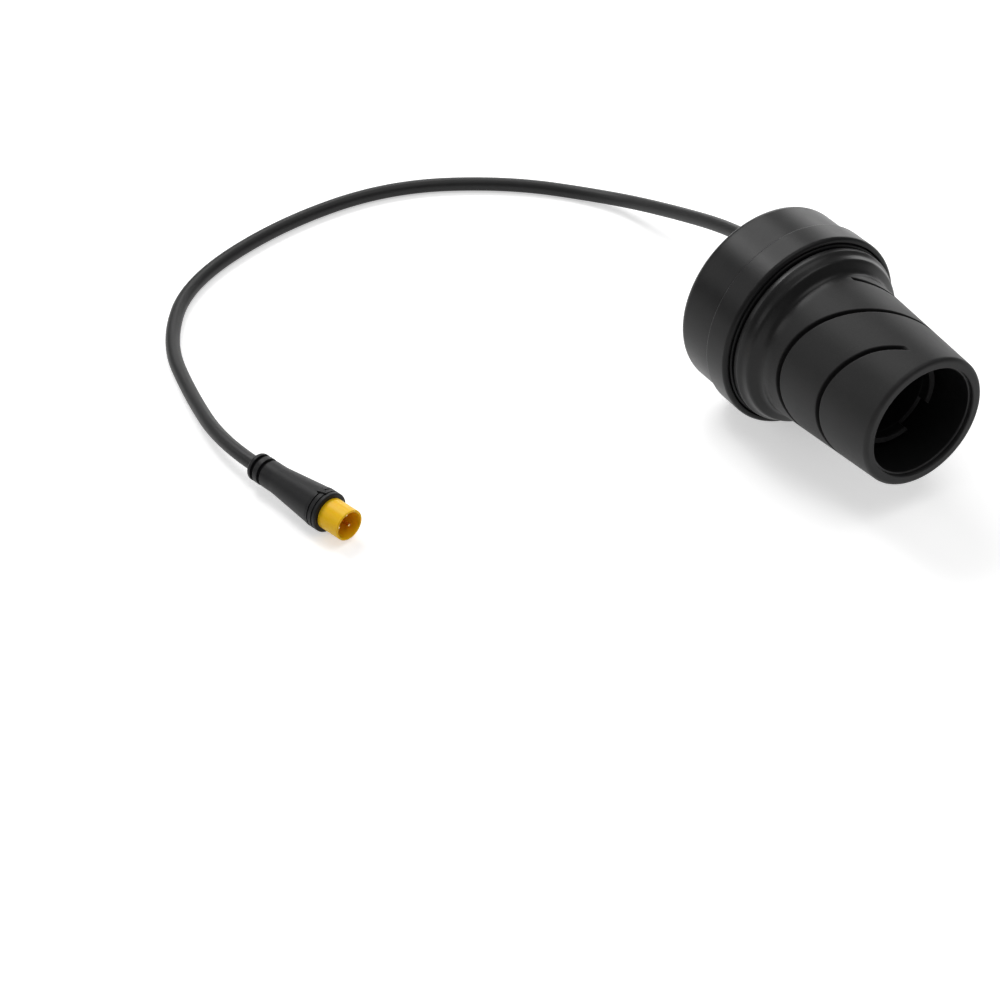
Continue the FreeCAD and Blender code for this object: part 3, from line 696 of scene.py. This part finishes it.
def dark_moulding(name, base, roughness, shine, grain_size, grain_depth, dust, edges=()):
    """Black plastic or rubber with drifting tone, grain, dust and paler edge lines (place, width, amount),
    part wear and part painted highlight.
    """
    colours = bpy.context.scene.throttle_colours
    material, tree, shader = blank_material(name)
    drifting_tone(
        tree, shader, base, tone_drift=0.16, roughness=roughness, gloss_drift=0.05, patch_size=11 * MM
    )
    # Paler edge lines, part rubbed wear and part painted highlight
    for place, width, amount in edges:
        insert_group(tree, shader, "Base Color", rubbed_edge, "Colour", {
            "Rubbed Colour": colours.rubbed, "Place": place, "Width": width, "Amount": amount,
        })
    insert_group(tree, shader, "Base Color", settled_dust, "Colour", {
        "Dust Colour": colours.dust, "Amount": dust,
    })
    shader.inputs["Specular IOR Level"].default_value = shine
    grain_bump(tree, shader, grain_size, grain_depth, strength=0.35)
    return material


def housing_plastic():
    """Black plastic of the drum, with paler lines, part wear and part painted highlight, on its rear edge,
    its step and the core tube's notched end.
    """
    return dark_moulding(
        "housing_plastic", "housing", roughness=0.34, shine=0.16,
        grain_size=0.32 * MM, grain_depth=0.02 * MM, dust=0.10,
        # Paler lines at these places are part rubbed wear and part painted highlight
        edges=(
            (0.3 * MM, 0.7 * MM, 0.5),
            (13.6 * MM, 0.4 * MM, 0.3),
            (54.35 * MM, 0.35 * MM, 1.0),
            (57.1 * MM, 0.4 * MM, 1.0),
        ),
    )


def ring_plastic():
    """Black plastic of the front ring, with a shallower grain, darker than the drum's as painted shade in
    the gap between the drum and the flange.
    """
    return dark_moulding(
        "ring_plastic", "ring", roughness=0.4, shine=0.14,
        grain_size=0.3 * MM, grain_depth=0.012 * MM, dust=0.05,
    )


def grip_rubber():
    """Matt black rubber of the sleeve, with paler lines, part wear and part painted highlight, on the
    flange's rim and the mouth.
    """
    material = dark_moulding(
        "grip_rubber", "rubber", roughness=0.5, shine=0.25,
        grain_size=0.4 * MM, grain_depth=0.022 * MM, dust=0.12,
        # Paler lines on the flange's rim and the mouth, part rubbed wear and part painted highlight
        edges=((24.3 * MM, 0.5 * MM, 0.35), (68.4 * MM, 0.8 * MM, 0.35)),
    )
    polish_neck(material.node_tree)
    shade_grooves(material.node_tree)
    return material


def polish_neck(tree):
    """Shinier rubber round the flange and the root of the taper, where the thumb rests."""
    shader = tree.nodes["Principled BSDF"]
    insert_group(tree, shader, "Roughness", polished_stretch, "Roughness", {
        "Place": 27.0 * MM, "Half Length": 5.0 * MM, "Amount": 0.18,
    })


def shade_grooves(tree):
    """Painted shade down in the sleeve's grooves: darker and duller rubber there."""
    shade_share = 0.9
    dulling = 0.5
    shader = tree.nodes["Principled BSDF"]
    depth = tree.nodes.new("ShaderNodeAttribute")
    depth.attribute_name = GROOVE_ATTRIBUTE
    # Share of the painted groove shade, from the depth of the groove
    share = number_node(tree, "MULTIPLY", depth.outputs["Fac"], shade_share, clamp=True)
    shade = tree.nodes.new("ShaderNodeRGB")
    shade.outputs["Color"].default_value = (*bpy.context.scene.throttle_colours.groove, 1.0)
    shaded = mixed_colour(tree, share, feeder(shader, "Base Color"), shade.outputs["Color"])
    dulled = number_node(tree, "MULTIPLY_ADD", share, dulling, feeder(shader, "Roughness"), clamp=True)
    tree.links.new(shaded, shader.inputs["Base Color"])
    tree.links.new(dulled, shader.inputs["Roughness"])


def carrier_plastic():
    """Black plastic of the carrier, with a paler line, part wear and part painted highlight, on the end
    that shows in the mouth.
    """
    return dark_moulding(
        "carrier_plastic", "carrier", roughness=0.42, shine=0.25,
        grain_size=0.3 * MM, grain_depth=0.014 * MM, dust=0.03,
        # Paler line on the carrier's end, part rubbed wear and part painted highlight
        edges=((67.6 * MM, 0.5 * MM, 1.0),),
    )


def cable_jacket():
    """Satin black jacket of the cable."""
    return dark_moulding(
        "cable_jacket", "jacket", roughness=0.46, shine=0.3,
        grain_size=0.5 * MM, grain_depth=0.012 * MM, dust=0.10,
    )


def plug_rubber():
    """Black rubber of the plug and of the grommet."""
    return dark_moulding(
        "plug_rubber", "plug", roughness=0.46, shine=0.2,
        grain_size=0.35 * MM, grain_depth=0.02 * MM, dust=0.10,
    )


def sensor_epoxy():
    """Dull black epoxy of the sensor, shut away from dust."""
    return dark_moulding(
        "sensor_epoxy", "sensor", roughness=0.55, shine=0.3,
        grain_size=0.2 * MM, grain_depth=0.01 * MM, dust=0.0,
    )


def plug_yellow():
    """Yellow plastic of the cup, which lets a little light in."""
    material, tree, shader = blank_material("plug_yellow")
    drifting_tone(
        tree, shader, "cup", tone_drift=0.05, roughness=0.36, gloss_drift=0.05, patch_size=4 * MM
    )
    shader.inputs["Specular IOR Level"].default_value = 0.18
    shader.inputs["Subsurface Weight"].default_value = 0.25
    shader.inputs["Subsurface Radius"].default_value = (1.0, 0.45, 0.08)
    shader.inputs["Subsurface Scale"].default_value = 1.0 * MM
    grain_bump(tree, shader, grain_size=0.25 * MM, grain_depth=0.008 * MM, strength=0.25)
    return material


def bare_metal(name, base, roughness, patch_size):
    """Metal whose tone and gloss drift a little."""
    material, tree, shader = blank_material(name)
    drifting_tone(
        tree, shader, base, tone_drift=0.12, roughness=roughness, gloss_drift=0.08, patch_size=patch_size
    )
    shader.inputs["Metallic"].default_value = 1.0
    grain_bump(tree, shader, grain_size=0.2 * MM, grain_depth=0.004 * MM, strength=0.2)
    return material


def wire_insulation(name):
    """Insulation of a thin wire, whose name is that of its colour setting."""
    material, tree, shader = blank_material(name)
    drifting_tone(
        tree, shader, name, tone_drift=0.08, roughness=0.35, gloss_drift=0.05, patch_size=3 * MM
    )
    grain_bump(tree, shader, grain_size=0.3 * MM, grain_depth=0.006 * MM, strength=0.2)
    return material


def paint_node(node, material):
    """Finish of a CAD node that keeps its own shape."""
    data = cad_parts[node].data
    data.materials.clear()
    data.materials.append(material)


# Rubber sleeve

def taper_root(grip):
    """Place along the bar where the sleeve's taper starts."""
    return grip.back + grip.flange_rim + grip.dish_length + grip.shoulder_length + grip.root_length


def sleeve_outlines(grip):
    """Outlines of the sleeve's section: its rear, its outside from the rim to the mouth, and its mouth."""
    rim = grip.back + grip.flange_rim
    dish = rim + grip.dish_length
    dish_radius = grip.flange_radius - grip.dish_drop
    shoulder = dish + grip.shoulder_length
    shoulder_radius = dish_radius - grip.shoulder_drop
    root = taper_root(grip)
    # The last two points lead to the dish, which the outside has already
    rear = rounded_line([
        (grip.back, grip.bore_radius),
        (grip.back, grip.flange_radius, grip.rear_round),
        (rim, grip.flange_radius, grip.rim_round),
        (dish, dish_radius),
    ])[:-2]
    outside = rounded_line([
        (rim, grip.flange_radius),
        (dish, dish_radius, grip.dish_blend),
        (shoulder, shoulder_radius, grip.shoulder_round),
        (root, grip.root_radius, grip.root_blend),
        (grip.mouth, grip.mouth_radius),
    ], step=FINE_STEP)
    # The first two points are on the taper, which the outside has already, and the last one starts the rear
    front = rounded_line([
        (root, grip.root_radius),
        (grip.mouth, grip.mouth_radius, grip.mouth_round),
        (grip.mouth, grip.lip_radius, grip.rear_round),
        (grip.lip_back, grip.lip_radius),
        (grip.lip_back, grip.bore_radius),
        (grip.back, grip.bore_radius),
    ])[2:-1]
    return rear, outside, front


def radius_on(outline, place):
    """Radius of an outline at a place along the bar."""
    for start, end in zip(outline, outline[1:]):
        if start.x <= place <= end.x:
            share = (place - start.x) / max(end.x - start.x, TINY)
            return start.y + (end.y - start.y) * share
    return outline[-1].y if place > outline[-1].x else outline[0].y


def run_rows(outline, start, end, count):
    """Points on the outline between two places, without its ends."""
    points = []
    for step in range(1, count + 1):
        place = start + (end - start) * step / (count + 1)
        points.append((place, radius_on(outline, place), 0.0))
    return points


def angle_between(first, second):
    """Smallest angle between two directions about the bar."""
    return abs((first - second + math.pi) % (2 * math.pi) - math.pi)


def groove_place(grip, centre, low, turn):
    """Place along the bar of a slanted groove's middle at an angle about the bar."""
    root = taper_root(grip)
    place = centre
    for _ in range(PLACE_ROUNDS):
        share = (place - root) / (grip.mouth - root)
        radius = grip.root_radius + (grip.mouth_radius - grip.root_radius) * share
        place = centre - math.tan(grip.groove_slant) * radius * math.cos(turn - low)
    return place


def arc_share(grip, spare):
    """Share of a groove's depth near the end of its arc, from the angle that is left."""
    distance = spare * grip.mouth_radius
    share = min(1.0, max(0.0, distance / (RUN_OUT * grip.groove_width)))
    return share * share * (3 - 2 * share)


def groove_marks(grip, turn):
    """Place, share of the depth and spread of the rear, middle and front grooves at an angle."""
    middle = grip.mouth - grip.groove_middle
    low = grip.groove_low
    high = low + math.pi
    rear_angle = angle_between(turn, high)
    front_angle = angle_between(turn, low)
    rear_turn = min(rear_angle, grip.rear_arc + ARC_MARGIN)
    front_turn = min(front_angle, grip.front_arc + ARC_MARGIN)
    curl = max(0.0, front_turn - grip.curl_start) / (grip.front_arc - grip.curl_start)
    rear_place = groove_place(grip, middle - grip.rear_pitch, low, high + rear_turn)
    middle_place = groove_place(grip, middle, grip.middle_low, turn)
    front_place = groove_place(grip, middle + grip.front_pitch, low, low + front_turn)
    front_place += grip.front_curl * curl ** 2
    rear_share = arc_share(grip, grip.rear_arc - rear_angle)
    front_share = arc_share(grip, grip.front_arc - front_angle)
    return (
        (rear_place, rear_share, 1.0),
        (middle_place, 1.0, 1.0),
        (front_place, front_share, 1.0 + grip.curl_spread * curl),
    )


def groove_rows(grip, outline, middle, share, spread):
    """Points across one groove, each with its share of the depth: lip, wall, floor, wall, lip."""
    half = spread * grip.groove_width / 2 / math.cos(grip.groove_slant)
    far_side = [(-across, depth) for across, depth in GROOVE_SIDE]
    points = []
    for across, depth in (*far_side, GROOVE_MIDDLE, *reversed(GROOVE_SIDE)):
        place = middle + across * half
        points.append((place, radius_on(outline, place) - depth * share * grip.groove_depth, depth * share))
    return points


def sleeve_mesh(grip):
    """Mesh of the sleeve: flange, dish, shoulder, taper and lipped mouth, with three slanted grooves."""
    rear, outside, front = sleeve_outlines(grip)
    neck_end = taper_root(grip) + grip.root_blend
    neck = [point for point in outside if rear[-1].x < point.x < neck_end]
    shape = bmesh.new()
    depth_layer = shape.verts.layers.float.new(GROOVE_ATTRIBUTE)
    columns = []
    for index in range(grip.columns):
        turn = 2 * math.pi * index / grip.columns
        points = [(point.x, point.y, 0.0) for point in rear + neck]
        for place, share, spread in groove_marks(grip, turn):
            groove = groove_rows(grip, outside, place, share, spread)
            points.extend(run_rows(outside, points[-1][0], groove[0][0], ROWS_BEFORE_GROOVE))
            points.extend(groove)
        points.extend(run_rows(outside, points[-1][0], front[0].x, ROWS_BEFORE_MOUTH))
        points.extend((point.x, point.y, 0.0) for point in front)
        column = []
        for place, radius, depth in points:
            vertex = shape.verts.new((place, radius * math.cos(turn), radius * math.sin(turn)))
            vertex[depth_layer] = depth
            column.append(vertex)
        columns.append(column)
    for index, column in enumerate(columns):
        join_rows(shape, column, columns[(index + 1) % len(columns)])
    return closed_mesh("grip_sleeve_rubber", shape)


# Stage

def place_camera(scene, studio):
    """Camera at the photograph's place, level and without shift."""
    data = bpy.data.cameras.new("camera")
    data.lens = studio.lens
    data.sensor_width = 36.0
    data.clip_start = 0.01
    data.clip_end = 100.0
    camera = bpy.data.objects.new("camera", data)
    scene.collection.objects.link(camera)
    camera.location = studio.camera_place
    camera.rotation_mode = "QUATERNION"
    camera.rotation_quaternion = Vector(studio.camera_direction).to_track_quat("-Z", "Y")
    scene.camera = camera


def add_floor(studio):
    """Wide pale floor under the drum, the cable and the plug."""
    height = cad_low.z - FLOOR_GAP
    half = FLOOR_HALF
    corners = [(-half, -half), (half, -half), (half, half), (-half, half)]
    shape = bmesh.new()
    shape.faces.new([shape.verts.new((x, y, height)) for x, y in corners])
    mesh = bpy.data.meshes.new("floor")
    shape.to_mesh(mesh)
    shape.free()
    mesh.materials.append(floor_paper(studio))
    floor = bpy.data.objects.new("floor", mesh)
    bpy.context.scene.collection.objects.link(floor)


def floor_paper(studio):
    """Pale paper that shows white to the camera and in reflections, and keeps the shadow."""
    material, tree, shader = blank_material("floor_paper")
    feed(tree, shader.inputs["Base Color"], studio.floor_colour)
    shader.inputs["Roughness"].default_value = 0.9
    shader.inputs["Specular IOR Level"].default_value = 0.1
    path = tree.nodes.new("ShaderNodeLightPath")
    seen = number_node(tree, "MAXIMUM", path.outputs["Is Camera Ray"], path.outputs["Is Glossy Ray"])
    seen = number_node(tree, "MAXIMUM", seen, path.outputs["Is Transmission Ray"])
    glow = number_node(tree, "MULTIPLY", seen, studio.floor_glow)
    feed(tree, shader.inputs["Emission Color"], WHITE)
    tree.links.new(glow, shader.inputs["Emission Strength"])
    return material


def light_room(scene, studio):
    """Even white light from all round."""
    world = bpy.data.worlds.new("room")
    world.use_nodes = True
    background = world.node_tree.nodes["Background"]
    feed(world.node_tree, background.inputs["Color"], WHITE)
    background.inputs["Strength"].default_value = studio.room_light
    scene.world = world


def add_softbox(name, place, target, size, watts):
    """Rectangular softbox that points at a target."""
    data = bpy.data.lights.new(name, "AREA")
    data.shape = "RECTANGLE"
    data.size = size[0]
    data.size_y = size[1]
    data.energy = watts
    lamp = bpy.data.objects.new(name, data)
    bpy.context.scene.collection.objects.link(lamp)
    lamp.location = place
    lamp.rotation_mode = "QUATERNION"
    lamp.rotation_quaternion = (Vector(target) - Vector(place)).to_track_quat("-Z", "Y")


# Operators

class ThrottleStage(bpy.types.Operator):
    """Camera, floor, lamps and room light"""

    bl_idname = "throttle.stage"
    bl_label = "Stage"

    def execute(self, context):
        studio = context.scene.throttle_studio
        place_camera(context.scene, studio)
        add_floor(studio)
        light_room(context.scene, studio)
        for name, (place, target, size, setting) in SOFTBOXES.items():
            add_softbox(name, place, target, size, getattr(studio, setting))
        context.scene.view_settings.view_transform = "Standard"
        return {"FINISHED"}


class ThrottleCable(bpy.types.Operator):
    """Cable from the drum to the plug, on one smooth curve"""

    bl_idname = "throttle.cable"
    bl_label = "Cable"

    def execute(self, context):
        sizes = context.scene.throttle_cable
        curve = bpy.data.curves.new("cable_line", "CURVE")
        curve.dimensions = "3D"
        curve.resolution_u = 24
        curve.bevel_depth = sizes.diameter / 2
        curve.bevel_resolution = 8
        curve.use_fill_caps = True
        spline = curve.splines.new("NURBS")
        spline.points.add(len(CABLE_ROUTE) - 1)
        for point, place in zip(spline.points, CABLE_ROUTE):
            point.co = (*place, 1.0)
        spline.order_u = 3
        spline.use_endpoint_u = True
        cable = add_piece("cable_line", curve, cable_jacket(), "housing", "cable_jacket", "cable")
        return {"FINISHED"}


class ThrottlePins(bpy.types.Operator):
    """Contact pins of the plug, one turned pin repeated on a circle"""

    bl_idname = "throttle.pins"
    bl_label = "Contact Pins"

    def execute(self, context):
        plug = context.scene.throttle_plug
        brass = bare_metal("contact_brass", "brass", roughness=0.25, patch_size=2 * MM)
        pin = turned_mesh("pin", [
            (plug.pin_back, 0.0),
            (plug.pin_back, plug.pin_radius, plug.pin_back_round),
            (plug.pin_front, plug.pin_radius, plug.pin_round),
            (plug.pin_front, 0.0),
        ], plug.pin_segments)
        made = made_by_nodes("pin_set", pin, ring_pattern(), {
            "Count": plug.pin_count, "Circle Radius": plug.pin_circle, "Material": brass,
        })
        made.transform(plug_place(plug) @ Matrix.Rotation(plug.pin_turn, 4, "X"))
        smooth(made)
        add_piece("pin_set", made, brass, "housing", "contact_brass", "contact_pins")
        return {"FINISHED"}


class ThrottleSleeve(bpy.types.Operator):
    """Rubber sleeve with its dished flange and slanted grooves"""

    bl_idname = "throttle.sleeve"
    bl_label = "Grip Sleeve"

    def execute(self, context):
        mesh = sleeve_mesh(context.scene.throttle_grip)
        add_piece("grip_sleeve_rubber", mesh, grip_rubber(), "rotor", "grip_rubber", "grip_sleeve")
        return {"FINISHED"}


class ThrottleFinishes(bpy.types.Operator):
    """Finishes of the pieces that keep the shape of their solids"""

    bl_idname = "throttle.finishes"
    bl_label = "Finishes"

    def execute(self, context):
        rubber = plug_rubber()
        magnet = bare_metal("magnet_nickel", "magnet", roughness=0.3, patch_size=4 * MM)
        finishes = {
            "base_housing": housing_plastic(),
            "front_ring": ring_plastic(),
            "rotor_carrier": carrier_plastic(),
            "cable_grommet": rubber,
            "plug_body": rubber,
            "plug_cup": plug_yellow(),
            "clamp_insert": bare_metal("insert_brass", "insert", roughness=0.35, patch_size=3 * MM),
            "clamp_screw": bare_metal("screw_steel", "screw", roughness=0.4, patch_size=3 * MM),
            "return_spring": bare_metal("spring_steel", "spring", roughness=0.3, patch_size=4 * MM),
            "magnet_a": magnet,
            "magnet_b": magnet,
            "hall_sensor": sensor_epoxy(),
            "supply_wire": wire_insulation("wire_red"),
            "signal_wire": wire_insulation("wire_green"),
            "ground_wire": wire_insulation("wire_black"),
        }
        for node, material in finishes.items():
            paint_node(node, material)
        return {"FINISHED"}


class ThrottlePanel(bpy.types.Panel):
    """Buttons and sizes of the throttle"""

    bl_idname = "VIEW3D_PT_throttle"
    bl_label = "Throttle"
    bl_space_type = "VIEW_3D"
    bl_region_type = "UI"
    bl_category = "Throttle"

    def draw(self, context):
        layout = self.layout
        for operator in OPERATORS:
            layout.operator(operator.bl_idname)
        for name, kind in SETTINGS.items():
            box = layout.box()
            box.label(text=kind.__doc__)
            for setting in kind.__annotations__:
                box.prop(getattr(context.scene, name), setting)


SETTINGS = {
    "throttle_grip": GripSizes,
    "throttle_cable": CableSizes,
    "throttle_plug": PlugSizes,
    "throttle_colours": FinishColours,
    "throttle_studio": StudioSettings,
}
OPERATORS = (ThrottleStage, ThrottlePins, ThrottleCable, ThrottleSleeve, ThrottleFinishes)


def register():
    """Register the settings, the operators and the panel."""
    for name, kind in SETTINGS.items():
        bpy.utils.register_class(kind)
        setattr(bpy.types.Scene, name, PointerProperty(type=kind))
    for operator in OPERATORS:
        bpy.utils.register_class(operator)
    bpy.utils.register_class(ThrottlePanel)


def unregister():
    """Take away what register added, in the opposite order."""
    bpy.utils.unregister_class(ThrottlePanel)
    for operator in reversed(OPERATORS):
        bpy.utils.unregister_class(operator)
    for name, kind in reversed(SETTINGS.items()):
        delattr(bpy.types.Scene, name)
        bpy.utils.unregister_class(kind)


def main():
    """Build the stage and the pieces."""
    register()
    bpy.ops.throttle.stage()
    bpy.ops.throttle.pins()
    bpy.ops.throttle.cable()
    bpy.ops.throttle.sleeve()
    bpy.ops.throttle.finishes()


if __name__ == "__main__":
    main()
